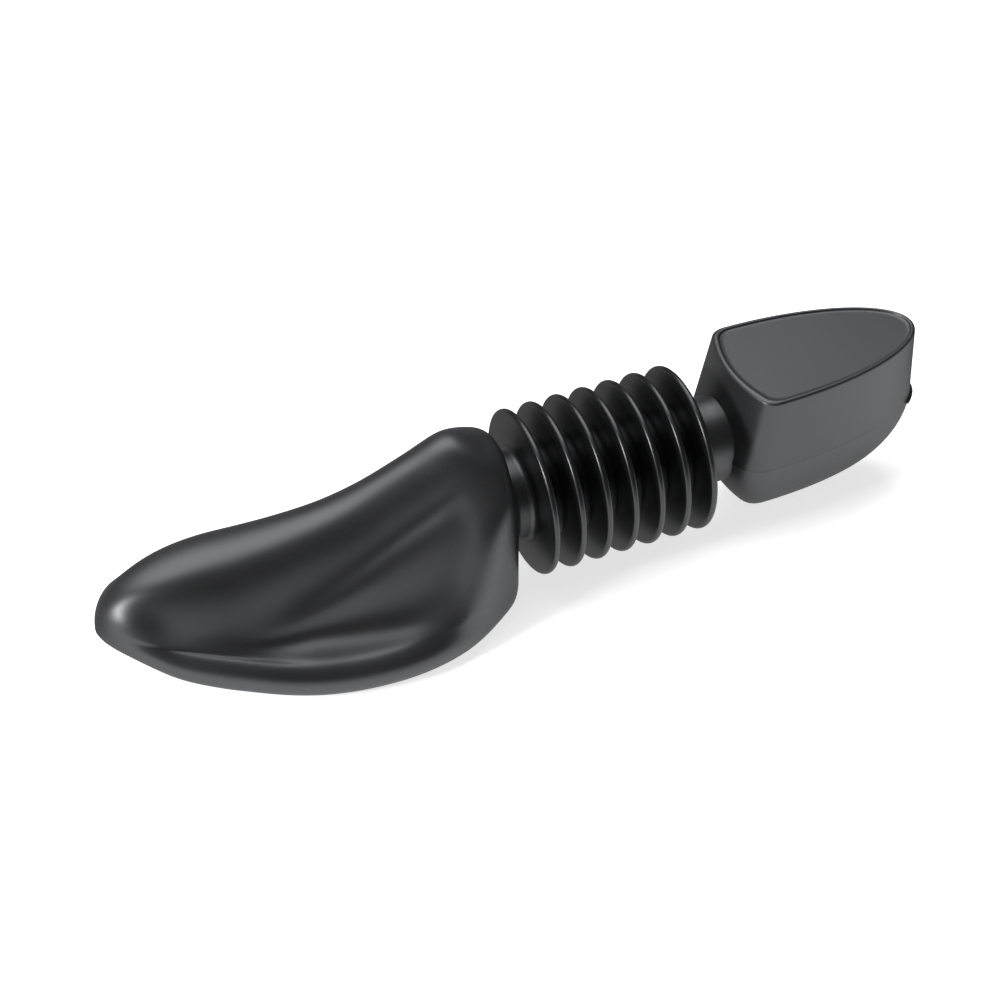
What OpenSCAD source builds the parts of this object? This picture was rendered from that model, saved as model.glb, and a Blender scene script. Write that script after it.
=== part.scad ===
/* [Toe form] */
// Length of the toe form, from its rear wall to its tip
toe_len = 112; // [104:1:124]
// Greatest width of the toe form, across the rolled rim
toe_w = 66; // [60:1:72]
// Height of the instep above the bellows axis
instep_h = 26.5; // [24:0.5:29]
// Height of the toe box above the bellows axis
box_h = 13; // [11:0.5:15]
// Radius of the rolled rim round the sole
rim_r = 5.2; // [4.5:0.1:6]
// Rise of the tip above the rim at the ball of the foot
toe_spring = 13; // [10:0.2:15]
// Fullness of the scooped flanks, as a share of their usual width
flank_share = 1; // [0.9:0.02:1.1]
// Radius of the corner round the rear wall
rear_corner_r = 5.5; // [4.5:0.1:6]

/* [Heel block] */
// Length of the heel block, from its front wall to its back
heel_len = 62.5; // [58:0.5:70]
// Greatest width of the heel block, at the weld seam
heel_w = 38; // [36:0.5:42]
// Height of the top face above the bellows axis
heel_top_h = 22.5; // [20:0.5:25]
// How far the front wall leans back over that height
front_lean = 5; // [3:0.5:7]
// How far the front wall bows out between its corners
front_bow = 4; // [3:0.5:5]
// Draft of the side walls over that height
side_draft = 1.2; // [0.6:0.1:2]
// Width of the raised border round the top panel
border_w = 1; // [0.8:0.1:1.4]
// Radius of the top edge
top_edge_r = 1.2; // [0.8:0.1:1.6]
// Depth of the sunk top panel
panel_sink = 0.6; // [0.4:0.1:0.9]
// Inward step of the lower shell at the weld seam
seam_step = 0.4; // [0.2:0.1:0.6]

/* [Bellows] */
// Diameter of a fold at its crest
fold_d = 46; // [44:0.5:47]
// Distance between the crests of two folds
fold_pitch = 7.65; // [7.6:0.05:8.2]
// Thickness of a fold at its crest
crest_t = 2.4; // [2.2:0.1:2.6]
// Thickness of a fold at its root
root_t = 4; // [3.8:0.1:4]
// Wall of a fold and of the sleeves between folds
fold_wall = 1; // [0.8:0.05:1.1]
// Diameter of the necks and of the sleeves between folds
neck_d = 24; // [22:0.5:25]
// Free length of the neck behind the toe form
toe_neck_l = 5.2; // [4.5:0.1:8]
// Free length of the neck in front of the heel block
heel_neck_l = 7; // [6:0.1:9]
// Length of that neck inside the heel block
neck_depth = 10; // [8:0.5:14]
// Height of the collar that holds the other neck in the toe form
collar_h = 1.1; // [0.8:0.1:1.6]

/* [Walls and fits] */
// Wall of the toe and heel shells
shell_wall = 1.8; // [1.4:0.1:2.2]
// Wall of the two necks
neck_wall = 1.5; // [1.2:0.1:1.8]
// Height of the bellows axis above the floor
axis_h = 25; // [24.6:0.1:26]
// Radial gap between a sleeve and the fold that it works in
sleeve_gap = 0.4; // [0.35:0.05:0.5]
// Distance by which each fold can close up on the last
squeeze = 2.2; // [1.6:0.1:2.2]
// Distance by which each fold can draw away from the last
stretch = 0.5; // [0.3:0.1:0.6]
// Gap that is left between two folds when they have closed up and tilted
stop_gap = 0.3; // [0.3:0.05:0.4]
// Gap between a neck and the hole it passes through
neck_fit = 0.05; // [0.03:0.01:0.1]

/* [Hidden] */
$fn = 96;

plastic = "#1d1e20";
folds = 7;

fold_r = fold_d / 2;
neck_r = neck_d / 2;
bellows_len = (folds - 1) * fold_pitch + root_t;
total_len = toe_len + toe_neck_l + bellows_len + heel_neck_l + heel_len;
tip_x = -total_len / 2;
toe_rear_x = tip_x + toe_len;
bellows_x = toe_rear_x + toe_neck_l;
heel_front_x = bellows_x + bellows_len + heel_neck_l;
heel_back_x = heel_front_x + heel_len;

function fold_x(i) = bellows_x + root_t / 2 + (i - 1) * fold_pitch;
function blend(a, b, t) = a + (b - a) * t;
function flipped(row) = [for (i = [len(row) - 1 : -1 : 0]) row[i]];
function mirrored(row) = [for (p = row) [p.x, -p.y, p.z]];

// Smooth curve through knots [position, value], read at position s
function knot_slope(k, i) =
  let (a = max(i - 1, 0), b = min(i + 1, len(k) - 1))
  (k[b][1] - k[a][1]) / (k[b][0] - k[a][0]);
function knot_before(k, s, i = 0) =
  i >= len(k) - 2 || s < k[i + 1][0] ? i : knot_before(k, s, i + 1);
function flow(k, s) =
  let (
    i = knot_before(k, s),
    h = k[i + 1][0] - k[i][0],
    t = (s - k[i][0]) / h,
    t2 = t * t,
    t3 = t2 * t
  )
  (2 * t3 - 3 * t2 + 1) * k[i][1] + (t3 - 2 * t2 + t) * h * knot_slope(k, i)
  + (3 * t2 - 2 * t3) * k[i + 1][1] + (t3 - t2) * h * knot_slope(k, i + 1);

// The toe form is lofted through upright sections. s runs from 0 at the rear wall to 1 at the
// tip, and t is how far the surface lies inside the outer one.
widest_s = 0.36;
rear_reach = 0.393;
nose_power = 1.75;
cap_s = 0.72;
cap_power = 2.15;
nose_s = 0.84;
section_steps = 2;
section_rows = 24;
rim_angles = [78, 38, 0, -38, -78];

rim_z = rim_r - axis_h;
tip_z = rim_z + toe_spring;
corner_s = rear_corner_r / toe_len;

function plan(s) =
  s < widest_s
    ? sqrt(1 - pow((widest_s - s) / rear_reach, 2))
    : pow(max(0, 1 - pow((s - widest_s) / (1 - widest_s), nose_power)), 1 / nose_power);
function cap(s) =
  s < cap_s ? 1 : pow(max(0, 1 - pow((s - cap_s) / (1 - cap_s), cap_power)), 1 / cap_power);
function ramp(a, b, s) = let (t = min(max((s - a) / (b - a), 0), 1)) t * t * (3 - 2 * t);

// The ridge, from the rear wall over the instep to the tip
function ridge_h(s) = flow([
  [0, instep_h * 0.7], [0.05, instep_h * 0.79], [0.13, instep_h * 0.943], [0.22, instep_h * 0.826],
  [0.4, box_h * 1.223], [0.55, box_h * 1.146], [0.72, box_h * 1.223], [1, box_h * 1.169]
], s);
function spring_h(s) = toe_spring * flow([
  [0, 0], [0.42, 0], [0.53, 0.054], [0.62, 0.185], [0.72, 0.4], [0.85, 0.631], [1, 0.885]
], s);

// Places across a section, from the instep down to the rim, at each of these stations. Each has
// a share of the half width and a share of the height between the rim and the ridge.
stations = [0.05, 0.12, 0.2, 0.3, 0.4, 0.53, 0.62, 0.72, 0.85, 1];
flare = [
  [0.55, 0.9], [0.44, 0.8], [0.36, 0.745], [0.335, 0.682], [0.35, 0.64],
  [0.39, 0.53], [0.43, 0.42], [0.5, 0.4], [0.5, 0.54], [0.5, 0.8]
];
brow = [
  [0.8, 0.79], [0.62, 0.785], [0.49, 0.745], [0.45, 0.685], [0.46, 0.645],
  [0.482, 0.465], [0.53, 0.3], [0.61, 0.28], [0.63, 0.38], [0.75, 0.6]
];
scoop = [
  [0.94, 0.66], [0.83, 0.6], [0.72, 0.42], [0.68, 0.265], [0.655, 0.295],
  [0.611, 0.37], [0.635, 0.23], [0.69, 0.22], [0.7, 0.295], [0.85, 0.45]
];
ledge = [
  [1, 0.5], [0.95, 0.4], [0.86, 0.275], [0.805, 0.25], [0.79, 0.27],
  [0.76, 0.325], [0.745, 0.175], [0.75, 0.18], [0.75, 0.235], [0.9, 0.3]
];
crease = [
  [1, 0.35], [0.99, 0.24], [0.93, 0.18], [0.865, 0.145], [0.845, 0.175],
  [0.836, 0.19], [0.81, 0.15], [0.795, 0.165], [0.785, 0.2], [0.95, 0.2]
];
function share(places, k, s) =
  flow([for (i = [0 : len(stations) - 1]) [stations[i], places[i][k]]], s);

function toe_x(s, t) =
  toe_rear_x - rear_corner_r
  - (toe_len - rear_corner_r - t) * (s - corner_s) / (1 - corner_s);
function lifted(h, s) = tip_z + (h - tip_z) * cap(s);

// Control points of half a section, from the ridge to the edge of the sole
seam_col = 10;
sole_col = 14;
scoop_share = 1 - (1 - flank_share) * 0.5;
function toe_net(s) =
  let (
    w = toe_w / 2 * plan(s),
    r = rim_r * cap(s),
    z = lifted(rim_z + spring_h(s), s),
    top = lifted(ridge_h(s), s),
    high = top - z,
    at = function (places, k) [w * k * share(places, 0, s), z + high * share(places, 1, s)],
    first = at(flare, flank_share),
    drop = top - first[1],
    front = ramp(0.3, 0.6, s),
    reach = 3 / (2 + cos(rim_angles[1])),
    wall = 1 - ramp(0.08, 0.32, s),
    rim = [for (a = rim_angles) [w - r + reach * r * cos(a), z + reach * r * sin(a)]],
    raised = [for (j = [0 : len(rim) - 1])
      let (h = j == 0 ? 0.19 : 0.06, k = j < 2 ? wall : 0)
      [blend(rim[j][0], w, k), blend(rim[j][1], z + h * high, k)]],
    body = concat(
      [
        [0, top],
        [(0.42 - 0.05 * front) * first[0], top - (0.09 + 0.09 * front) * drop],
        [(0.8 - 0.08 * front) * first[0], top - (0.46 + 0.12 * front) * drop],
        first, at(brow, flank_share), at(scoop, scoop_share), at(ledge, 1), at(crease, 1)
      ],
      raised,
      [[(w - r) * 0.55, z - r]]
    ),
    low = z - r,
    wide = z + 0.12 * high,
    nose = [for (j = [0 : sole_col - 1])
      let (a = j <= seam_col ? 90 * (1 - j / seam_col) : -90 * (j - seam_col) / (sole_col - seam_col))
      [w * cos(a), wide + (a > 0 ? top - wide : wide - low) * sin(a)]]
  )
  concat(
    [for (j = [0 : sole_col - 1]) blend(body[j], nose[j], ramp(nose_s, 0.99, s))],
    [[0, low]]
  );

// Smooth curve that follows half a net of control points, and the same on the other side
function other(p) = [-p[0], p[1]];
function followed(net, n) =
  let (
    last = len(net) - 1,
    p = concat([other(net[1])], net, [other(net[last - 1])])
  )
  [for (i = [0 : last - 1], k = [0 : n - 1])
    let (t = k / n, u = 1 - t)
    (u * u * u * p[i] + (3 * t * t * t - 6 * t * t + 4) * p[i + 1]
      + (3 * u * u * u - 6 * u * u + 4) * p[i + 2] + t * t * t * p[i + 3]) / 6,
    (p[last] + 4 * p[last + 1] + p[last + 2]) / 6];
// The same curve, t further in
function inset(half, t) = [for (i = [0 : len(half) - 1])
  let (
    a = i == 0 ? other(half[1]) : half[i - 1],
    b = i == len(half) - 1 ? other(half[i - 1]) : half[i + 1],
    d = (b - a) / norm(b - a)
  )
  [max(0, half[i][0] + t * d[1]), half[i][1] - t * d[0]]
];

// Half a section, from the ridge down to the middle of the sole
function toe_half(s, t) =
  let (outer = followed(toe_net(s), section_steps), half = t > 0 ? inset(outer, t * cap(s)) : outer)
  [for (p = half) [toe_x(s, t), p[0], max(p[1], t * cap(s) - axis_h)]];

// Half a section on the rounded corner, a degrees from the flank towards the rear wall
function corner_half(a, t) =
  let (
    r = rear_corner_r - t,
    full = toe_half(corner_s, t),
    mid = (full[0].z + full[len(full) - 1].z) / 2,
    keep_y = 1 - r * (1 - cos(a)) / (toe_w / 2 * plan(corner_s) - t),
    keep_z = 1 - r * (1 - cos(a)) / (full[0].z - mid)
  )
  [for (p = full) [toe_rear_x - rear_corner_r + r * sin(a), p.y * keep_y, mid + (p.z - mid) * keep_z]];

seam_key = seam_col * section_steps;
function above(half) = [for (i = [0 : seam_key]) half[i]];
function below(half) = [for (i = [seam_key : len(half) - 1]) half[i]];
function over(half) =
  let (a = above(half))
  concat(flipped(a), [for (i = [1 : len(a) - 1]) mirrored([a[i]])[0]]);
function under(half) =
  let (b = below(half))
  concat(mirrored(b), [for (i = [len(b) - 2 : -1 : 0]) b[i]]);
function toe_stations() = [
  for (i = [0 : section_rows - 1]) let (u = i / section_rows) blend(corner_s, 1, u * (1.7 - 0.7 * u))
];
function toe_halves(t) = concat(
  [for (a = [90, 60, 30]) corner_half(a, t)],
  [for (s = toe_stations()) toe_half(s, t)]
);

// Shell between two lofts that both start at a flat wall and end in a point.
// Every row runs across from one side of the seam to the other.
function grid(rows, cols, at) = [
  for (i = [0 : rows - 2], j = [0 : cols - 2])
    let (a = at + i * cols + j, b = a + cols)
    each [[a, b + 1, b], [a, a + 1, b + 1]]
];
function turned(faces) = [for (f = faces) flipped(f)];
module pointed_shell(outer, inner, outer_tip, inner_tip) {
  rows = len(outer);
  cols = len(outer[0]);
  n = rows * cols;
  tip = 2 * n;
  last = (rows - 1) * cols;
  side = cols - 1;
  polyhedron(
    points = concat([for (r = outer) each r], [for (r = inner) each r], [outer_tip, inner_tip]),
    faces = concat(
      grid(rows, cols, 0),
      turned(grid(rows, cols, n)),
      [for (j = [0 : cols - 2]) [last + j, last + j + 1, tip]],
      [for (j = [0 : cols - 2]) [n + last + j, tip + 1, n + last + j + 1]],
      [for (i = [0 : rows - 2]) let (a = i * cols)
        each [[a, n + a + cols, n + a], [a, a + cols, n + a + cols]]],
      [for (i = [0 : rows - 2]) let (a = i * cols + side)
        each [[a, n + a + cols, a + cols], [a, n + a, n + a + cols]]],
      [[last, tip + 1, n + last], [last, tip, tip + 1]],
      [[last + side, tip + 1, tip], [last + side, n + last + side, tip + 1]],
      [[0, n + side, side], [0, n, n + side]],
      [[for (j = [side : -1 : 0]) j]],
      [[for (j = [0 : side]) n + j]]
    )
  );
}

// Every piece is drawn about the bellows axis and stood on the floor from there
module stood() {
  translate([0, 0, axis_h]) children();
}
module along_axis(x) {
  translate([x, 0, 0]) rotate([0, 90, 0]) children();
}
module tube(from_x, to_x, r, wall) {
  along_axis(from_x)
    difference() {
      cylinder(h = to_x - from_x, r = r);
      translate([0, 0, -wall]) cylinder(h = to_x - from_x + 2 * wall, r = r - wall);
    }
}

module toe_upper_shell() {
  color(plastic) stood()
    difference() {
      pointed_shell(
        [for (h = toe_halves(0)) over(h)], [for (h = toe_halves(shell_wall)) over(h)],
        [tip_x, 0, tip_z], [tip_x + shell_wall, 0, tip_z]
      );
      along_axis(toe_rear_x - 2 * shell_wall)
        cylinder(h = 4 * shell_wall, r = neck_r + neck_fit);
    }
}

module toe_lower_shell() {
  color(plastic) stood()
    pointed_shell(
      [for (h = toe_halves(0)) under(h)], [for (h = toe_halves(shell_wall)) under(h)],
      [tip_x, 0, tip_z], [tip_x + shell_wall, 0, tip_z]
    );
}

// The neck is held in the rear wall by a collar on its inner end, and in the first fold
neck_collar_r = neck_r + collar_h;
neck_lap = 0.4;
neck_end = fold_wall + neck_lap;
module toe_neck() {
  color(plastic) stood()
    union() {
      tube(toe_rear_x - shell_wall - neck_wall, bellows_x + neck_end, neck_r, neck_wall);
      tube(
        toe_rear_x - shell_wall - neck_wall, toe_rear_x - shell_wall,
        neck_collar_r, neck_collar_r - neck_r + neck_wall
      );
    }
}

// A sleeve is wide where it tilts in one fold and narrow where it slides in the next
nest_gap = 0.5;
slide_r = neck_r - fold_wall - nest_gap;
tilt_hole_r = neck_r + sleeve_gap;
slide_hole_r = slide_r + sleeve_gap;
neck_hole_r = neck_r + neck_fit;
root_gap = fold_pitch - root_t;
tilt_depth = 1.3;
slide_lap = 0.3;
slide_depth = stretch + slide_lap;
shoulder_l = root_gap - squeeze - stop_gap;

// A fold is a hollow disc: two flanks that meet in a rounded crest
module fold(i) {
  left_r = i == 1 ? neck_hole_r : slide_hole_r;
  right_r = i == folds ? neck_hole_r : tilt_hole_r;
  crest_r = fold_r - crest_t / 2;
  hollow_r = crest_r - fold_wall / 2;
  hollow_t = crest_t - 2 * fold_wall + 0.2;
  color(plastic) stood()
    along_axis(fold_x(i))
      rotate_extrude()
        polygon(concat(
          [[left_r, -root_t / 2]],
          [for (a = [-80 : 20 : 80]) [crest_r + crest_t / 2 * cos(a), crest_t / 2 * sin(a)]],
          [
            [right_r, root_t / 2], [right_r, root_t / 2 - fold_wall],
            [hollow_r, hollow_t / 2], [hollow_r, -hollow_t / 2],
            [left_r, fold_wall - root_t / 2]
          ]
        ));
}

module sleeve(i) {
  root_x = fold_x(i) + root_t / 2;
  color(plastic) stood()
    union() {
      tube(root_x - tilt_depth, root_x + shoulder_l, neck_r, fold_wall);
      tube(root_x + shoulder_l - fold_wall, root_x + root_gap + slide_depth, slide_r, fold_wall);
      tube(root_x + shoulder_l - fold_wall, root_x + shoulder_l, neck_r, neck_r - slide_r + fold_wall);
    }
}

// The heel block is lofted through level outlines, from the weld seam up to the top face and
// down to the keel.
corner_r = 3;
back_draft = 2;
keel_front = 16;
keel_back = 24;
keel_power = 1.9;
keel_end = 76;
front_steps = 5;
corner_steps = 3;
side_steps = 10;
hull_steps = 8;
bend_point_share = 1.2;

function bezier(a, b, c, t) = a * pow(1 - t, 2) + b * 2 * t * (1 - t) + c * t * t;

// Half an outline, from the middle of the front wall round to the back
function heel_half(front, back, w, bow, r) =
  let (
    y1 = w - r,
    p1 = [front + bow * pow(y1 / w, 2), y1],
    bend = [p1[0] + 2 * bow * y1 / (w * w) * r, w],
    p2 = [bend[0] + bend_point_share * r, w]
  )
  concat(
    [for (i = [0 : front_steps - 1]) let (y = y1 * i / front_steps) [front + bow * pow(y / w, 2), y]],
    [for (i = [0 : corner_steps - 1]) bezier(p1, bend, p2, i / corner_steps)],
    [for (i = [0 : side_steps]) let (a = 90 * i / side_steps)
      [p2[0] + (back - p2[0]) * sin(a), w * cos(a)]]
  );
function ring(half, z) = concat(
  [for (p = half) [p[0], p[1], z]],
  [for (i = [len(half) - 2 : -1 : 1]) [half[i][0], -half[i][1], z]]
);
function heel_ring(z, inset) =
  let (f = z / heel_top_h)
  ring(heel_half(
    heel_front_x + front_lean * f + inset, heel_back_x - back_draft * f - inset,
    heel_w / 2 - side_draft * f - inset, front_bow, corner_r
  ), z);
function keel_ring(i, inset, depth) =
  let (
    a = keel_end * i / hull_steps,
    f = pow(cos(a), 2 / keel_power),
    z = -depth * pow(sin(a) / sin(keel_end), 2 / keel_power),
    front_k = heel_front_x + keel_front,
    back_k = heel_back_x - keel_back
  )
  ring(heel_half(
    front_k - (keel_front - inset) * f, back_k + (keel_back - inset) * f,
    (heel_w / 2 - inset) * f, front_bow * f, corner_r * f
  ), z);

// Shell between two cups that are open at the seam and closed by a flat face
function loop_grid(rows, cols, at) = [
  for (i = [0 : rows - 2], j = [0 : cols - 1])
    let (a = at + i * cols + j, b = at + i * cols + (j + 1) % cols)
    each [[a, a + cols, b + cols], [a, b + cols, b]]
];
module cup_shell(outer, inner) {
  cols = len(outer[0]);
  n_out = len(outer) * cols;
  n_in = len(inner) * cols;
  polyhedron(
    points = concat([for (r = outer) each r], [for (r = inner) each r]),
    faces = concat(
      loop_grid(len(outer), cols, 0),
      turned(loop_grid(len(inner), cols, n_out)),
      [for (j = [0 : cols - 1]) let (k = (j + 1) % cols)
        each [[j, k, n_out + k], [j, n_out + k, n_out + j]]],
      [[for (j = [cols - 1 : -1 : 0]) n_out - cols + j]],
      [[for (j = [0 : cols - 1]) n_out + n_in - cols + j]]
    )
  );
}

bore_lead = 2;
module neck_bore() {
  along_axis(heel_front_x - bore_lead)
    cylinder(h = neck_depth + 2 * bore_lead, r = neck_r + neck_fit);
}

module heel_neck() {
  color(plastic) stood()
    tube(bellows_x + bellows_len - neck_end, heel_front_x + neck_depth, neck_r, neck_wall);
}

module heel_upper_shell() {
  edge_z = heel_top_h - top_edge_r;
  walls = [for (i = [0 : 4]) heel_ring(edge_z * i / 4, 0)];
  edge = [for (a = [30, 60, 90]) heel_ring(edge_z + top_edge_r * sin(a), top_edge_r * (1 - cos(a)))];
  panel = [
    heel_ring(heel_top_h, top_edge_r + border_w),
    heel_ring(heel_top_h - panel_sink, top_edge_r + border_w + panel_sink / 2)
  ];
  inside = [
    for (i = [0 : 4]) heel_ring((heel_top_h - panel_sink - shell_wall) * i / 4, shell_wall)
  ];
  color(plastic) stood()
    difference() {
      cup_shell(concat(walls, edge, panel), inside);
      neck_bore();
    }
}

module heel_lower_shell() {
  color(plastic) stood()
    difference() {
      cup_shell(
        [for (i = [0 : hull_steps]) flipped(keel_ring(i, seam_step, axis_h))],
        [for (i = [0 : hull_steps]) flipped(keel_ring(i, seam_step + shell_wall, axis_h - shell_wall))]
      );
      neck_bore();
    }
}

toe_upper_shell();
toe_lower_shell();
toe_neck();
for (i = [1 : folds]) fold(i);
for (i = [1 : folds - 1]) sleeve(i);
heel_neck();
heel_upper_shell();
heel_lower_shell();
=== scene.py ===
from math import cos, pi, radians, sin, sqrt

import bpy
import numpy as np
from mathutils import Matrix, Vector


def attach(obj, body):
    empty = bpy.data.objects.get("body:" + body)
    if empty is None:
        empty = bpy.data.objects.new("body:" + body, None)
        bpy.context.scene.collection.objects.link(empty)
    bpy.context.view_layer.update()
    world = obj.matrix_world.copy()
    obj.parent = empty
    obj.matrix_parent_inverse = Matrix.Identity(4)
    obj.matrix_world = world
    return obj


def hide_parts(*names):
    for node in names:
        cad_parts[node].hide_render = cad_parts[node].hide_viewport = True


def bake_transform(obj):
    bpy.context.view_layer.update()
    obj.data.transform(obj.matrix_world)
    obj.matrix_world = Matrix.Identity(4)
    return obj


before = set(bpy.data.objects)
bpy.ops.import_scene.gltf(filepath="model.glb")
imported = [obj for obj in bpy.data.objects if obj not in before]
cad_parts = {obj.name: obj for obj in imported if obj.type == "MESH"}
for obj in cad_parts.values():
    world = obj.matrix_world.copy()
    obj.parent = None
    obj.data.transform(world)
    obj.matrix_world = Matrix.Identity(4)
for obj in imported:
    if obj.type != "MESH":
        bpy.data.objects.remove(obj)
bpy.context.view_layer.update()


# Toe form
# The hollow front of the stretcher, which fills the toe box of a shoe. It is blown in one piece
# with the rest from black polythene. A brow runs down each flank from the instep, with a scooped
# pocket and a crescent ledge under it, and a rolled rim goes round the flat sole.
MM = 0.001
AXIS_Z = 25.0
TOE_LEN = 112.4
TOE_REAR_X = -6.3
TIP_X = TOE_REAR_X - TOE_LEN
TOE_HALF_W = 33.0
INSTEP_H = 26.5
BOX_H = 13.0
RIM_R = 5.2
TOE_SPRING = 14.0
RIM_Z = RIM_R - AXIS_Z
TIP_Z = RIM_Z + TOE_SPRING
WIDEST_S = 0.36
REAR_REACH = 0.393
NOSE_POWER = 1.75
NOSE_S = (0.84, 0.99)
CAP_S = 0.72
CAP_POWER = 2.15
REAR_CORNER_R = 5.5
# How far the rear corner draws in: at the sides, at the foot and at the top
REAR_CORNER_Y = 8.5
REAR_CORNER_LOW = 7.0
REAR_CORNER_TOP = 3.2
CORNER_S = REAR_CORNER_R / TOE_LEN


def flow(knots, s):
    """Smooth curve through knots of position and value, read at s."""
    xs = [k[0] for k in knots]
    ys = [k[1] for k in knots]
    n = len(xs)
    i = min(max(int(np.searchsorted(xs, s, side="right")) - 1, 0), n - 2)

    def slope(j):
        a, b = max(j - 1, 0), min(j + 1, n - 1)
        return (ys[b] - ys[a]) / (xs[b] - xs[a])

    h = xs[i + 1] - xs[i]
    t = (s - xs[i]) / h
    t2, t3 = t * t, t * t * t
    return ((2 * t3 - 3 * t2 + 1) * ys[i] + (t3 - 2 * t2 + t) * h * slope(i)
            + (3 * t2 - 2 * t3) * ys[i + 1] + (t3 - t2) * h * slope(i + 1))


def ramp(a, b, s):
    """Soft step from 0 at a to 1 at b."""
    t = min(max((s - a) / (b - a), 0), 1)
    return t * t * (3 - 2 * t)


def toe_x(s):
    """Place along the axis of a section at share s of the length, from the rear to the tip."""
    return TOE_REAR_X - REAR_CORNER_R - (TOE_LEN - REAR_CORNER_R) * (s - CORNER_S) / (1 - CORNER_S)


def toe_plan(s):
    """Half width at s, as a share of the widest."""
    if s < WIDEST_S:
        return sqrt(1 - ((WIDEST_S - s) / REAR_REACH) ** 2)
    return max(0.0, 1 - ((s - WIDEST_S) / (1 - WIDEST_S)) ** NOSE_POWER) ** (1 / NOSE_POWER)


def toe_cap(s):
    """How open a section still is at s: 1 up to the cap, 0 at the tip."""
    if s < CAP_S:
        return 1.0
    return max(0.0, 1 - ((s - CAP_S) / (1 - CAP_S)) ** CAP_POWER) ** (1 / CAP_POWER)


def closed_in(h, s):
    """A height drawn toward that of the tip, as the cap closes."""
    return TIP_Z + (h - TIP_Z) * toe_cap(s)


RIDGE_H = ((0, INSTEP_H - 9), (0.05, INSTEP_H - 4.0), (0.09, INSTEP_H - 0.6), (0.13, INSTEP_H + 0.6),
           (0.22, INSTEP_H - 3.7), (0.4, BOX_H + 2.0), (0.55, BOX_H - 0.4), (0.72, BOX_H - 0.8),
           (1, BOX_H - 0.8))
SPRING_H = ((0, 0), (0.42, 0), (0.53, 0.7), (0.62, 2.4), (0.72, 5.2), (0.85, 8.2), (1, 11.5))
# Five lines run along each flank. At each of these stations a line has two shares: of the half
# width, and of the height between the rim and the ridge.
STATIONS = (0.05, 0.09, 0.14, 0.2, 0.3, 0.4, 0.53, 0.62, 0.72, 0.85, 1.0)
FLARE = ((0.55, 0.9), (0.47, 0.83), (0.39, 0.75), (0.35, 0.705), (0.33, 0.65),
         (0.365, 0.6), (0.43, 0.525), (0.5, 0.485), (0.57, 0.5), (0.58, 0.6), (0.5, 0.8))
BROW = ((0.8, 0.79), (0.73, 0.73), (0.57, 0.71), (0.505, 0.725), (0.475, 0.675),
        (0.507, 0.6), (0.547, 0.455), (0.585, 0.36), (0.645, 0.345), (0.67, 0.42), (0.75, 0.6))
SCOOP = ((0.94, 0.72), (0.925, 0.68), (0.79, 0.53), (0.69, 0.37), (0.625, 0.225),
         (0.575, 0.235), (0.578, 0.25), (0.62, 0.24), (0.7, 0.275), (0.72, 0.32), (0.85, 0.45))
LEDGE = ((1.0, 0.52), (1.0, 0.5), (0.93, 0.36), (0.86, 0.235), (0.77, 0.185),
         (0.745, 0.205), (0.72, 0.235), (0.73, 0.21), (0.75, 0.225), (0.755, 0.255), (0.9, 0.3))
CREASE = ((1.0, 0.35), (1.0, 0.33), (0.98, 0.22), (0.93, 0.165), (0.865, 0.15),
          (0.84, 0.155), (0.83, 0.17), (0.81, 0.17), (0.795, 0.19), (0.785, 0.215), (0.95, 0.2))
# The crown between ridge and flare: shares of the flare's distance and drop, behind and in front
CROWN_TURN_S = (0.3, 0.6)
CROWN_BEHIND = ((0.42, 0.09), (0.8, 0.46))
CROWN_IN_FRONT = ((0.46, 0.08), (0.77, 0.38))
RIM_ANGLES = (78, 38, 0, -38, -78)
REAR_WALL_S = (0.08, 0.32)
REAR_WALL_H = (0.19, 0.06)
REAR_WALL_LIFT = 0.6
SOLE_EDGE = 0.55
EGG_WIDEST_H = 0.12
SEAM_COL = 10
SOLE_COL = 14
SECTION_STEPS = 8


def toe_half(s):
    """Control points of half an upright section, from the ridge to the edge of the sole."""
    w = TOE_HALF_W * toe_plan(s)
    r = RIM_R * toe_cap(s)
    z = closed_in(RIM_Z + flow(SPRING_H, s), s)
    top = closed_in(flow(RIDGE_H, s), s)
    high = top - z

    def at(line):
        return (w * flow([(k, p[0]) for k, p in zip(STATIONS, line)], s),
                z + high * flow([(k, p[1]) for k, p in zip(STATIONS, line)], s))

    flare_y, flare_z = at(FLARE)
    front = ramp(*CROWN_TURN_S, s)
    half = [(0, top)]
    for (out_a, down_a), (out_b, down_b) in zip(CROWN_BEHIND, CROWN_IN_FRONT):
        half.append(((out_a + (out_b - out_a) * front) * flare_y,
                     top - (down_a + (down_b - down_a) * front) * (top - flare_z)))
    half += [(flare_y, flare_z), at(BROW), at(SCOOP), at(LEDGE), at(CREASE)]

    # Control points stand off the rim's arc, so that the curve itself has the radius
    stand_off = 3 / (2 + cos(radians(RIM_ANGLES[1])))
    rim = [(w - r + stand_off * r * cos(radians(a)), z + stand_off * r * sin(radians(a)))
           for a in RIM_ANGLES]
    wall = 1 - ramp(*REAR_WALL_S, s)
    for j, share in enumerate(REAR_WALL_H):
        rim_y, rim_z = rim[j]
        rim[j] = (rim_y + (w - rim_y) * wall, rim_z + (z + share * high - rim_z) * wall)
    rim[2] = (rim[2][0], rim[2][1] + REAR_WALL_LIFT * wall)
    half = np.array(half + rim + [((w - r) * SOLE_EDGE, z - r)])

    # Toward the tip the section turns into a plain egg
    low = z - r
    wide = z + EGG_WIDEST_H * high
    egg = []
    for j in range(SOLE_COL):
        above = 1 - j / SEAM_COL
        below = (j - SEAM_COL) / (SOLE_COL - SEAM_COL)
        a = radians(90 * above if j <= SEAM_COL else -90 * below)
        egg.append((w * cos(a), wide + (top - wide if a > 0 else wide - low) * sin(a)))
    nose = ramp(*NOSE_S, s)
    return half * (1 - nose) + np.array(egg) * nose


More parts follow.
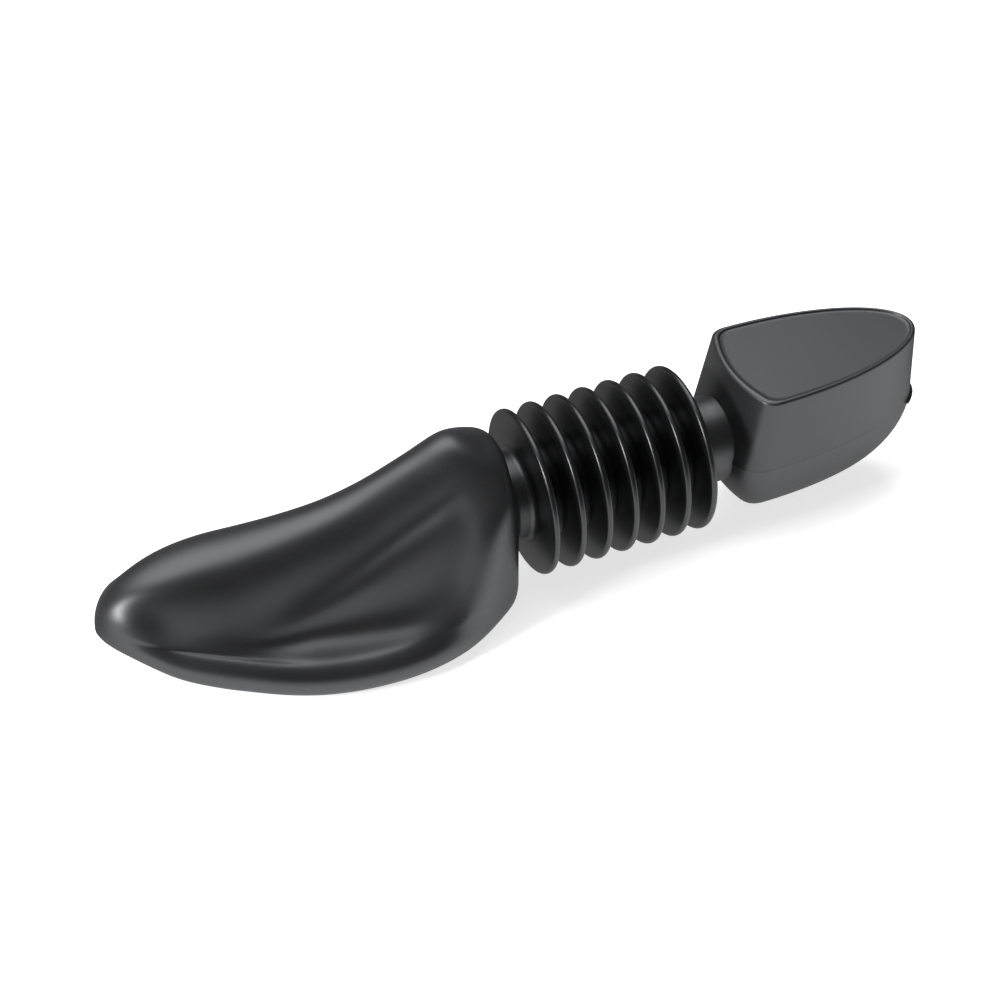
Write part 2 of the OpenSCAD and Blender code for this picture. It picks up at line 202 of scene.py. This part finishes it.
def loop_of(half):
    """A whole smooth section from half of its control points, with the far side mirrored."""
    bottom = np.array([[0, half[-1, 1]]])
    far = half[:0:-1] * np.array([-1, 1])
    net = np.vstack([half, bottom, far])
    a, b, c, d = np.roll(net, 1, 0), net, np.roll(net, -1, 0), np.roll(net, -2, 0)
    out = []
    for k in range(SECTION_STEPS):
        t = k / SECTION_STEPS
        out.append(((1 - t) ** 3 * a + (3 * t ** 3 - 6 * t * t + 4) * b
                    + (-3 * t ** 3 + 3 * t * t + 3 * t + 1) * c + t ** 3 * d) / 6)
    ring = np.stack(out, axis=1).reshape(-1, 2)
    ring[:, 1] = np.maximum(ring[:, 1], -AXIS_Z)
    return ring


def eased(rows, rounds, first):
    """Softens all rows of points a little round the section, and along the form those from first
    to the last but two."""
    for _ in range(rounds):
        rows = (np.roll(rows, 1, axis=1) + 2 * rows + np.roll(rows, -1, axis=1)) / 4
        rows[first:-2] = (rows[first - 1:-3] + 2 * rows[first:-2] + rows[first + 1:-1]) / 4
    return rows


def placed(points):
    """Points in millimetres from the bellows axis, as metres above the table."""
    return (np.array(points) + np.array([0, 0, AXIS_Z])) * MM


def skin(name, verts, faces):
    mesh = bpy.data.meshes.new(name)
    mesh.from_pydata([tuple(v) for v in verts], [], faces)
    mesh.update()
    mesh.shade_smooth()
    piece = bpy.data.objects.new(name, mesh)
    bpy.context.scene.collection.objects.link(piece)
    return piece


def loop_faces(rows, cols, flip=False):
    """Faces between closed rows of points that lie one after another."""
    faces = []
    for i in range(rows - 1):
        for j in range(cols):
            a, b = i * cols + j, i * cols + (j + 1) % cols
            face = (a, b, b + cols, a + cols)
            faces.append(face[::-1] if flip else face)
    return faces


PLASTIC_IOR = 1.54
COOL_GLOSS = (0.93, 0.96, 1.0, 1)
FLOW_MARKS = {"Scale": 38.0, "Detail": 3.0, "Roughness": 0.55}
ORANGE_PEEL = {"Scale": 900.0, "Detail": 2.0, "Roughness": 0.5}
PEEL_BUMP = {"Strength": 0.12, "Distance": 0.00004}
DUST = {"Scale": 420.0}
DUST_COLOR = (0.09, 0.09, 0.095, 1)
DUST_GRAIN = (0.03, 0.05)
MARK_CONTRAST = (0.3, 0.72)
DARK_MARK = (0.8, 0.81, 0.86)
PALE_MARK = (1.2, 1.22, 1.3)
ROUGH_SPREAD = (-0.03, 0.05)


def plastic(name, tone, rough, gloss):
    """Black blown polythene: satin gloss with faint flow marks, orange peel and dust."""
    mat = bpy.data.materials.new(name)
    mat.use_nodes = True
    nt = mat.node_tree
    bsdf = nt.nodes["Principled BSDF"]
    bsdf.inputs["IOR"].default_value = PLASTIC_IOR
    bsdf.inputs["Specular IOR Level"].default_value = gloss
    bsdf.inputs["Specular Tint"].default_value = COOL_GLOSS

    def node(kind, sockets):
        n = nt.nodes.new(kind)
        for key, value in sockets.items():
            n.inputs[key].default_value = value
        return n

    def two_stops(places, colors):
        n = nt.nodes.new("ShaderNodeValToRGB")
        for stop, place, color in zip(n.color_ramp.elements, places, colors):
            stop.position = place
            stop.color = color
        return n

    where = nt.nodes.new("ShaderNodeTexCoord")
    marks = node("ShaderNodeTexNoise", FLOW_MARKS)
    peel = node("ShaderNodeTexNoise", ORANGE_PEEL)
    dust = node("ShaderNodeTexVoronoi", DUST)
    for texture in (marks, peel, dust):
        nt.links.new(where.outputs["Object"], texture.inputs["Vector"])

    shades = [tuple(tone * c for c in mark) + (1,) for mark in (DARK_MARK, PALE_MARK)]
    shade = two_stops(MARK_CONTRAST, shades)
    nt.links.new(marks.outputs["Fac"], shade.inputs["Fac"])
    speck = two_stops(DUST_GRAIN, ((1, 1, 1, 1), (0, 0, 0, 1)))
    nt.links.new(dust.outputs["Distance"], speck.inputs["Fac"])
    mix = nt.nodes.new("ShaderNodeMix")
    mix.data_type = "RGBA"
    mix.inputs["B"].default_value = DUST_COLOR
    nt.links.new(speck.outputs["Color"], mix.inputs["Factor"])
    nt.links.new(shade.outputs["Color"], mix.inputs["A"])
    nt.links.new(mix.outputs["Result"], bsdf.inputs["Base Color"])

    satin = node("ShaderNodeMapRange", {"To Min": rough + ROUGH_SPREAD[0],
                                        "To Max": rough + ROUGH_SPREAD[1]})
    nt.links.new(marks.outputs["Fac"], satin.inputs["Value"])
    nt.links.new(satin.outputs["Result"], bsdf.inputs["Roughness"])
    bump = node("ShaderNodeBump", PEEL_BUMP)
    nt.links.new(peel.outputs["Fac"], bump.inputs["Height"])
    nt.links.new(bump.outputs["Normal"], bsdf.inputs["Normal"])
    return mat


black_plastic = plastic("black_polythene", 0.015, 0.41, 0.8)

# The rear corner rounds from the rear wall out to the first section
CORNER_STEP = 6
corner_loop = loop_of(toe_half(CORNER_S))
corner_mid = (corner_loop[:, 1].max() + corner_loop[:, 1].min()) / 2
corner_w = TOE_HALF_W * toe_plan(CORNER_S)
corner_h = corner_loop[:, 1].max() - corner_mid
drawn_in = np.where(corner_loop[:, 1] > corner_mid, REAR_CORNER_TOP, REAR_CORNER_LOW)
toe_rows = []
for a in range(90, 0, -CORNER_STEP):
    turn = 1 - cos(radians(a))
    y = corner_loop[:, 0] * (1 - REAR_CORNER_Y * turn / corner_w)
    z = corner_mid + (corner_loop[:, 1] - corner_mid) * (1 - drawn_in * turn / corner_h)
    x = np.full(len(y), TOE_REAR_X - REAR_CORNER_R + REAR_CORNER_R * sin(radians(a)))
    toe_rows.append(np.column_stack([x, y, z]))

ROWS_TO_CAP = 90
ROWS_IN_CAP = 46
places = [CORNER_S + (CAP_S - CORNER_S) * i / ROWS_TO_CAP for i in range(ROWS_TO_CAP)]
places += [CAP_S + (1 - CAP_S) * sin(radians(90 * i / ROWS_IN_CAP)) for i in range(ROWS_IN_CAP)]
for s in places:
    section = loop_of(toe_half(s))
    toe_rows.append(np.column_stack([np.full(len(section), toe_x(s)), section]))

# The rear wall runs in from the corner to the neck, with a fillet round the neck
NECK_R = 12.0
NECK_FILLET = 1.6
FILLET_STEPS = 8
WALL_STEPS = 10
wall_edge = toe_rows[0]
angle = np.arctan2(wall_edge[:, 2], wall_edge[:, 1])
unit_ring = np.column_stack([np.zeros(len(angle)), np.cos(angle), np.sin(angle)])


def fillet_ring(a):
    ring = unit_ring * (NECK_R + NECK_FILLET * (1 - sin(a)))
    ring[:, 0] = TOE_REAR_X + NECK_FILLET * (1 - cos(a))
    return ring


wall_rows = [fillet_ring(radians(90 * k / FILLET_STEPS)) for k in range(FILLET_STEPS, -1, -1)]
fillet_edge = wall_rows[-1]
for k in range(1, WALL_STEPS):
    t = k / WALL_STEPS
    wall_rows.append(fillet_edge * (1 - t) + wall_edge * t)

# Blown plastic has no sharp turns: all of it is eased, and the rear shoulder more than the rest
EASE_ROUNDS = 6
EASE_FROM_ROW = 5
SHOULDER_ROUNDS = 20
SHOULDER_FROM_ROW = 13
SHOULDER_FADE = (10, 22)
toe_rows = eased(np.array(wall_rows + toe_rows), EASE_ROUNDS, EASE_FROM_ROW)
shoulder = eased(toe_rows, SHOULDER_ROUNDS, SHOULDER_FROM_ROW)
fade = np.array([1 - ramp(*SHOULDER_FADE, TOE_REAR_X - row[0, 0]) for row in toe_rows])
toe_rows += (shoulder - toe_rows) * fade[:, None, None]

cols = toe_rows.shape[1]
verts = np.vstack([toe_rows.reshape(-1, 3), [[TIP_X, 0, TIP_Z]]])
faces = loop_faces(len(toe_rows), cols)
tip = len(verts) - 1
last = (len(toe_rows) - 1) * cols
faces += [(last + j, last + (j + 1) % cols, tip) for j in range(cols)]
toe_form = skin("toe_form", placed(verts), faces)
toe_form.data.materials.append(black_plastic)
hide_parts("toe_upper_shell", "toe_lower_shell", "toe_neck")
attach(toe_form, "toe")


# Folds of the bellows
# Seven hollow discs of the same blown plastic stand one behind another. Their thin walls flex at
# crest and root, which is what lets the stretcher close up and bend.
FOLDS = 7
FOLD_PITCH = 7.65
FOLD_1_X = 0.9
FOLD_R = 23.0
CREST_T = 1.9
FOOT_T = 3.2
FOOT_R = 13.6
FLANK_STEPS = 14
CREST_STEP = 12
SPIN_STEPS = 144

# A darker copy of the one plastic: its lower tone is painted shade for the deep folds, and its lower gloss
# dims their reflections.
shaded_bellows_plastic = plastic("black_polythene_painted_shade", 0.006, 0.3, 0.6)


def spun(name, profile):
    """A skin of revolution about the bellows axis from a profile of x and radius."""
    verts = []
    for x, r in profile:
        for k in range(SPIN_STEPS):
            a = 2 * pi * k / SPIN_STEPS
            verts.append((x, r * cos(a), r * sin(a)))
    return skin(name, placed(verts), loop_faces(len(profile), SPIN_STEPS, flip=True))


def fold_x(i):
    return FOLD_1_X + (i - 1) * FOLD_PITCH


def body_of_fold(i):
    """The first fold stays with the toe form and the last with the heel block."""
    return "toe" if i == 1 else "heel" if i == FOLDS else f"fold_{i}"


def fold_profile(x0):
    """From the foot of the left flank over the crest to the foot of the right flank."""
    crest = CREST_T / 2
    foot = FOOT_T / 2
    lip_r = FOLD_R - crest
    flank = []
    for k in range(FLANK_STEPS):
        t = k / FLANK_STEPS
        flank.append((x0 - foot + (foot - crest) * t, FOOT_R + (lip_r - FOOT_R) * t))
    rounded = [(x0 + crest * sin(radians(a)), lip_r + crest * cos(radians(a)))
               for a in range(-90, 91, CREST_STEP)]
    return flank + rounded + [(2 * x0 - x, r) for x, r in flank][::-1]


for i in range(1, FOLDS + 1):
    piece = spun(f"fold_skin_{i}", fold_profile(fold_x(i)))
    piece.data.materials.append(shaded_bellows_plastic)
    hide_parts(f"fold_{i}")
    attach(piece, body_of_fold(i))


# Roots between the folds
# Between two discs the skin runs down into a rounded valley. It is the soft part of the bellows. Each
# valley is spun in two halves, one from the foot of each fold, and the halves are attached to no body.
ROOT_STEPS = 12
ROOT_HOLLOW = 1.3


def root_profile(x0, side):
    """Half a valley: from the foot of a flank down to the middle of the root."""
    foot_x = x0 + side * FOOT_T / 2
    mid_x = x0 + side * FOLD_PITCH / 2
    out = []
    for k in range(ROOT_STEPS + 1):
        a = radians(90 * k / ROOT_STEPS)
        out.append((foot_x + (mid_x - foot_x) * sin(a) ** ROOT_HOLLOW,
                    NECK_R + (FOOT_R - NECK_R) * (1 - sin(a))))
    return out


for i in range(1, FOLDS):
    x0, x1 = fold_x(i), fold_x(i + 1)
    before = spun(f"root_front_{i}", root_profile(x0, 1))
    after = spun(f"root_back_{i}", root_profile(x1, -1)[::-1])
    for piece in (before, after):
        piece.data.materials.append(shaded_bellows_plastic)
    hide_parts(f"sleeve_{i}")
    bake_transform(before)
    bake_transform(after)


# Necks
# A plain tube joins the bellows to the toe form and another joins it to the heel block. Small
# fillets lead into the neighbours, except at the heel block, where the tube is sunk in.
HEEL_FRONT_X = 55.8
SUNK_IN_TOE = 0.2
SUNK_IN_HEEL = 3
SUNK_FILLET = 0.01


def neck_profile(x_from, x_to, fillet_from, fillet_to):
    turns = [radians(90 * k / FILLET_STEPS) for k in range(FILLET_STEPS + 1)]
    near = [(x_from + fillet_from * (1 - cos(a)), NECK_R + fillet_from * (1 - sin(a))) for a in turns]
    far = [(x_to - fillet_to * (1 - cos(a)), NECK_R + fillet_to * (1 - sin(a))) for a in turns[::-1]]
    return near + far


toe_neck = spun("toe_neck_skin", neck_profile(TOE_REAR_X - SUNK_IN_TOE, fold_x(1) - FOOT_T / 2,
                                              NECK_FILLET, NECK_FILLET))
heel_neck = spun("heel_neck_skin", neck_profile(fold_x(FOLDS) + FOOT_T / 2, HEEL_FRONT_X + SUNK_IN_HEEL,
                                                NECK_FILLET, SUNK_FILLET))
for piece, body, slot in ((toe_neck, "toe", "toe_plastic"), (heel_neck, "heel", "heel_plastic")):
    piece.data.materials.append(black_plastic)
    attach(piece, body)
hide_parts("heel_neck")


# Heel block
# The hollow back of the stretcher, which sits against the heel of the shoe. Its flat sunk top
# takes the thumb. The weld seam of the mould runs round it at half height, with a tab of flash at
# the back.
HEEL_BACK_X = 118.3
HEEL_HALF_W = 19.0
HEEL_TOP_H = 22.5
FRONT_LEAN = 5.0
FRONT_BOW = 4.0
SIDE_DRAFT = 1.2
BACK_DRAFT = 0.8
HEEL_CORNER_R = 3.0
SEAM_CORNER_R = 6.0
CORNER_END = 1.2
BORDER_W = 0.5
TOP_EDGE_R = 0.8
PANEL_SINK = 0.5
SEAM_BEAD = 0.03
SEAM_HALF_T = 0.3
FLASH_TAB = 0.8
FLASH_TAB_REACH = 8.0
KEEL_FRONT = 16.0
KEEL_BACK = 24.0
KEEL_DEPTH = 24.0
KEEL_POWER = 1.85
KEEL_END = 86.0
FRONT_POINTS = 24
CORNER_POINTS = 14
BACK_POINTS = 60
KEEL_ROWS = 40
WALL_ROWS = 24
EDGE_STEP = 10


def heel_half(front, back, w, bow, r):
    """Half an outline, from the middle of the front wall round to the back: x and y."""
    y1 = w - r
    p1 = np.array([front + bow * (y1 / w) ** 2, y1])
    bend = np.array([p1[0] + 2 * bow * y1 / (w * w) * r, w])
    p2 = np.array([bend[0] + CORNER_END * r, w])
    out = []
    for i in range(FRONT_POINTS):
        y = y1 * i / FRONT_POINTS
        out.append((front + bow * (y / w) ** 2, y))
    for i in range(CORNER_POINTS):
        t = i / CORNER_POINTS
        out.append(tuple(p1 * (1 - t) ** 2 + bend * 2 * t * (1 - t) + p2 * t * t))
    for i in range(BACK_POINTS + 1):
        a = radians(90 * i / BACK_POINTS)
        out.append((p2[0] + (back - p2[0]) * sin(a), w * cos(a)))
    return np.array(out)


def whole_ring(half, z):
    """A closed outline at height z from half of it, with the far side mirrored."""
    far = half[-2:0:-1] * np.array([1, -1])
    ring = np.vstack([half, far])
    return np.column_stack([ring, np.full(len(ring), z)])


def upper_ring(z, inset):
    """The outline of the walls at height z over the seam, drawn in by an inset."""
    f = z / HEEL_TOP_H
    corner_r = SEAM_CORNER_R + (HEEL_CORNER_R - SEAM_CORNER_R) * f
    return whole_ring(heel_half(HEEL_FRONT_X + FRONT_LEAN * f + inset, HEEL_BACK_X - BACK_DRAFT * f - inset,
                                HEEL_HALF_W - SIDE_DRAFT * f - inset, FRONT_BOW, corner_r), z)


def keel_ring(share):
    """The outline of the keel, from the seam at share 0 to its foot at share 1."""
    a = radians(KEEL_END * share)
    f = cos(a) ** (2 / KEEL_POWER)
    z = -KEEL_DEPTH * (sin(a) / sin(radians(KEEL_END))) ** (2 / KEEL_POWER)
    return whole_ring(heel_half(HEEL_FRONT_X + KEEL_FRONT * (1 - f), HEEL_BACK_X - KEEL_BACK * (1 - f),
                                HEEL_HALF_W * f, FRONT_BOW * f, SEAM_CORNER_R * f), z)


def seam_ring(z, bead, tab):
    """The outline at the seam, pushed out by its bead and, at the back, by the tab of flash."""
    ring = upper_ring(0, 0)
    along = np.roll(ring, -1, 0) - np.roll(ring, 1, 0)
    outward = np.column_stack([-along[:, 1], along[:, 0]])
    outward /= np.linalg.norm(outward, axis=1)[:, None]
    at_back = (ring[:, 0] > (HEEL_FRONT_X + HEEL_BACK_X) / 2) & (abs(ring[:, 1]) < FLASH_TAB_REACH)
    ring[:, :2] += outward * (bead + tab * at_back)[:, None]
    ring[:, 2] = z
    return ring


SEAM_CREST = 0.7 * SEAM_HALF_T
rows = [keel_ring(1 - k / KEEL_ROWS) for k in range(KEEL_ROWS)]
rows += [seam_ring(-SEAM_HALF_T, 0, 0), seam_ring(-SEAM_CREST, SEAM_BEAD, FLASH_TAB),
         seam_ring(SEAM_CREST, SEAM_BEAD, FLASH_TAB), seam_ring(SEAM_HALF_T, 0, 0)]
edge_z = HEEL_TOP_H - TOP_EDGE_R
rows += [upper_ring(edge_z * k / WALL_ROWS, 0) for k in range(1, WALL_ROWS + 1)]
rows += [upper_ring(edge_z + TOP_EDGE_R * sin(radians(a)), TOP_EDGE_R * (1 - cos(radians(a))))
         for a in range(EDGE_STEP, 91, EDGE_STEP)]
# How far down and in from the border's inner edge each ring of the sunk panel lies
PANEL_RINGS = ((0, -0.1), (0.1, 0.02), (PANEL_SINK - 0.1, 0.15), (PANEL_SINK, 0.35),
               (PANEL_SINK, 1.4), (PANEL_SINK, 2.2))
rows += [upper_ring(HEEL_TOP_H - down, TOP_EDGE_R + BORDER_W + inward) for down, inward in PANEL_RINGS]
rows = np.array(rows)
cols = rows.shape[1]


def strip_cap(at, flip):
    """Closes an outline that is the same on both sides with strips across it."""
    out = []
    for j in range(cols // 2):
        a, b = at + j, at + j + 1
        c, d = at + (cols - j - 1) % cols, at + (cols - j) % cols
        face = (a, b, c, d) if j else (a, b, c)
        if b == c:
            face = (a, b, d)
        out.append(face[::-1] if flip else face)
    return out


faces = loop_faces(len(rows), cols)
faces += strip_cap((len(rows) - 1) * cols, False) + strip_cap(0, True)
heel_block = skin("heel_block", placed(rows.reshape(-1, 3)), faces)
heel_block.data.materials.append(black_plastic)
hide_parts("heel_upper_shell", "heel_lower_shell")
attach(heel_block, "heel")


# Floor, light and camera
# A white studio table without an edge, a wide soft light over and behind the object and a small one
# from the left. In mirror images the table is bright in front of the object and dark behind it. The
# camera stands where the photographer stood, to the left of the front and 42 degrees up.
TABLE_HALF = 6
TABLE_CORNERS = [(-TABLE_HALF, -TABLE_HALF, 0), (TABLE_HALF, -TABLE_HALF, 0),
                 (TABLE_HALF, TABLE_HALF, 0), (-TABLE_HALF, TABLE_HALF, 0)]
TABLE_WHITE = (0.9, 0.9, 0.9, 1)
TABLE_ROUGH = 0.7
TABLE_GLOSS = 0.2
SEEN_GLOW = 0.72
MIRRORED_GLOW = 0.7
DARK_GLOW = 0.03
DARK_SHARE = 0.85
DARK_Y = (-0.035, 0.015)

floor_mesh = bpy.data.meshes.new("floor")
floor_mesh.from_pydata(TABLE_CORNERS, [], [(0, 1, 2, 3)])
floor = bpy.data.objects.new("floor", floor_mesh)
bpy.context.scene.collection.objects.link(floor)
floor_mat = bpy.data.materials.new("white_table")
floor_mat.use_nodes = True
nt = floor_mat.node_tree
base = nt.nodes["Principled BSDF"]
base.inputs["Base Color"].default_value = TABLE_WHITE
base.inputs["Roughness"].default_value = TABLE_ROUGH
base.inputs["Specular IOR Level"].default_value = TABLE_GLOSS
path = nt.nodes.new("ShaderNodeLightPath")
seen = nt.nodes.new("ShaderNodeMath")
seen.operation = "MULTIPLY"
seen.inputs[1].default_value = SEEN_GLOW
nt.links.new(path.outputs["Is Camera Ray"], seen.inputs[0])
mirrored = nt.nodes.new("ShaderNodeMath")
mirrored.operation = "MULTIPLY_ADD"
mirrored.inputs[1].default_value = MIRRORED_GLOW
nt.links.new(path.outputs["Is Glossy Ray"], mirrored.inputs[0])
nt.links.new(seen.outputs[0], mirrored.inputs[2])
glow = nt.nodes.new("ShaderNodeEmission")
nt.links.new(mirrored.outputs[0], glow.inputs["Strength"])
lit = nt.nodes.new("ShaderNodeAddShader")
nt.links.new(base.outputs[0], lit.inputs[0])
nt.links.new(glow.outputs[0], lit.inputs[1])

where = nt.nodes.new("ShaderNodeNewGeometry")
split = nt.nodes.new("ShaderNodeSeparateXYZ")
nt.links.new(where.outputs["Position"], split.inputs[0])
behind = nt.nodes.new("ShaderNodeMapRange")
behind.inputs["From Min"].default_value = DARK_Y[0]
behind.inputs["From Max"].default_value = DARK_Y[1]
behind.inputs["To Max"].default_value = DARK_SHARE
nt.links.new(split.outputs["Y"], behind.inputs["Value"])
dimmed = nt.nodes.new("ShaderNodeMath")
dimmed.operation = "MULTIPLY"
nt.links.new(behind.outputs[0], dimmed.inputs[0])
nt.links.new(path.outputs["Is Glossy Ray"], dimmed.inputs[1])
dark = nt.nodes.new("ShaderNodeEmission")
dark.inputs["Strength"].default_value = DARK_GLOW
both = nt.nodes.new("ShaderNodeMixShader")
nt.links.new(dimmed.outputs[0], both.inputs["Fac"])
nt.links.new(lit.outputs[0], both.inputs[1])
nt.links.new(dark.outputs[0], both.inputs[2])
nt.links.new(both.outputs[0], nt.nodes["Material Output"].inputs["Surface"])

floor.data.materials.append(floor_mat)

# The air is dim, and white only where the camera sees it
AIR_LEVEL = 0.085
AIR_SEEN = 1.0
LIT_POINT = (0, 0, 0.02)

world = bpy.data.worlds.new("studio")
bpy.context.scene.world = world
world.use_nodes = True
nt = world.node_tree
air = nt.nodes["Background"]
air.inputs["Color"].default_value = (1, 1, 1, 1)
path = nt.nodes.new("ShaderNodeLightPath")
level = nt.nodes.new("ShaderNodeMapRange")
level.inputs["To Min"].default_value = AIR_LEVEL
level.inputs["To Max"].default_value = AIR_SEEN
nt.links.new(path.outputs["Is Camera Ray"], level.inputs["Value"])
nt.links.new(level.outputs["Result"], air.inputs["Strength"])


def softbox(name, place, size, power):
    lamp = bpy.data.lights.new(name, "AREA")
    lamp.shape = "RECTANGLE"
    lamp.size, lamp.size_y = size
    lamp.energy = power
    box = bpy.data.objects.new(name, lamp)
    bpy.context.scene.collection.objects.link(box)
    box.location = place
    box.rotation_euler = (Vector(LIT_POINT) - Vector(place)).to_track_quat("-Z", "Y").to_euler()


softbox("over", (-0.05, 0.45, 1.0), (1.3, 0.9), 12.0)
softbox("left", (-1.0, -0.15, 0.48), (0.22, 0.22), 9.0)

CAMERA_PLACE = (-0.20849, -0.47246, 0.48719)
CAMERA_AIM = (0.29275, 0.68305, -0.66913)
CAMERA_LENS = 93.08
CAMERA_SENSOR = 36

camera = bpy.data.cameras.new("camera")
camera.lens = CAMERA_LENS
camera.sensor_width = CAMERA_SENSOR
camera.clip_start = 0.01
camera_obj = bpy.data.objects.new("camera", camera)
bpy.context.scene.collection.objects.link(camera_obj)
camera_obj.location = CAMERA_PLACE
camera_obj.rotation_euler = Vector(CAMERA_AIM).to_track_quat("-Z", "Y").to_euler()
bpy.context.scene.camera = camera_obj
bpy.context.scene.view_settings.view_transform = "Standard"
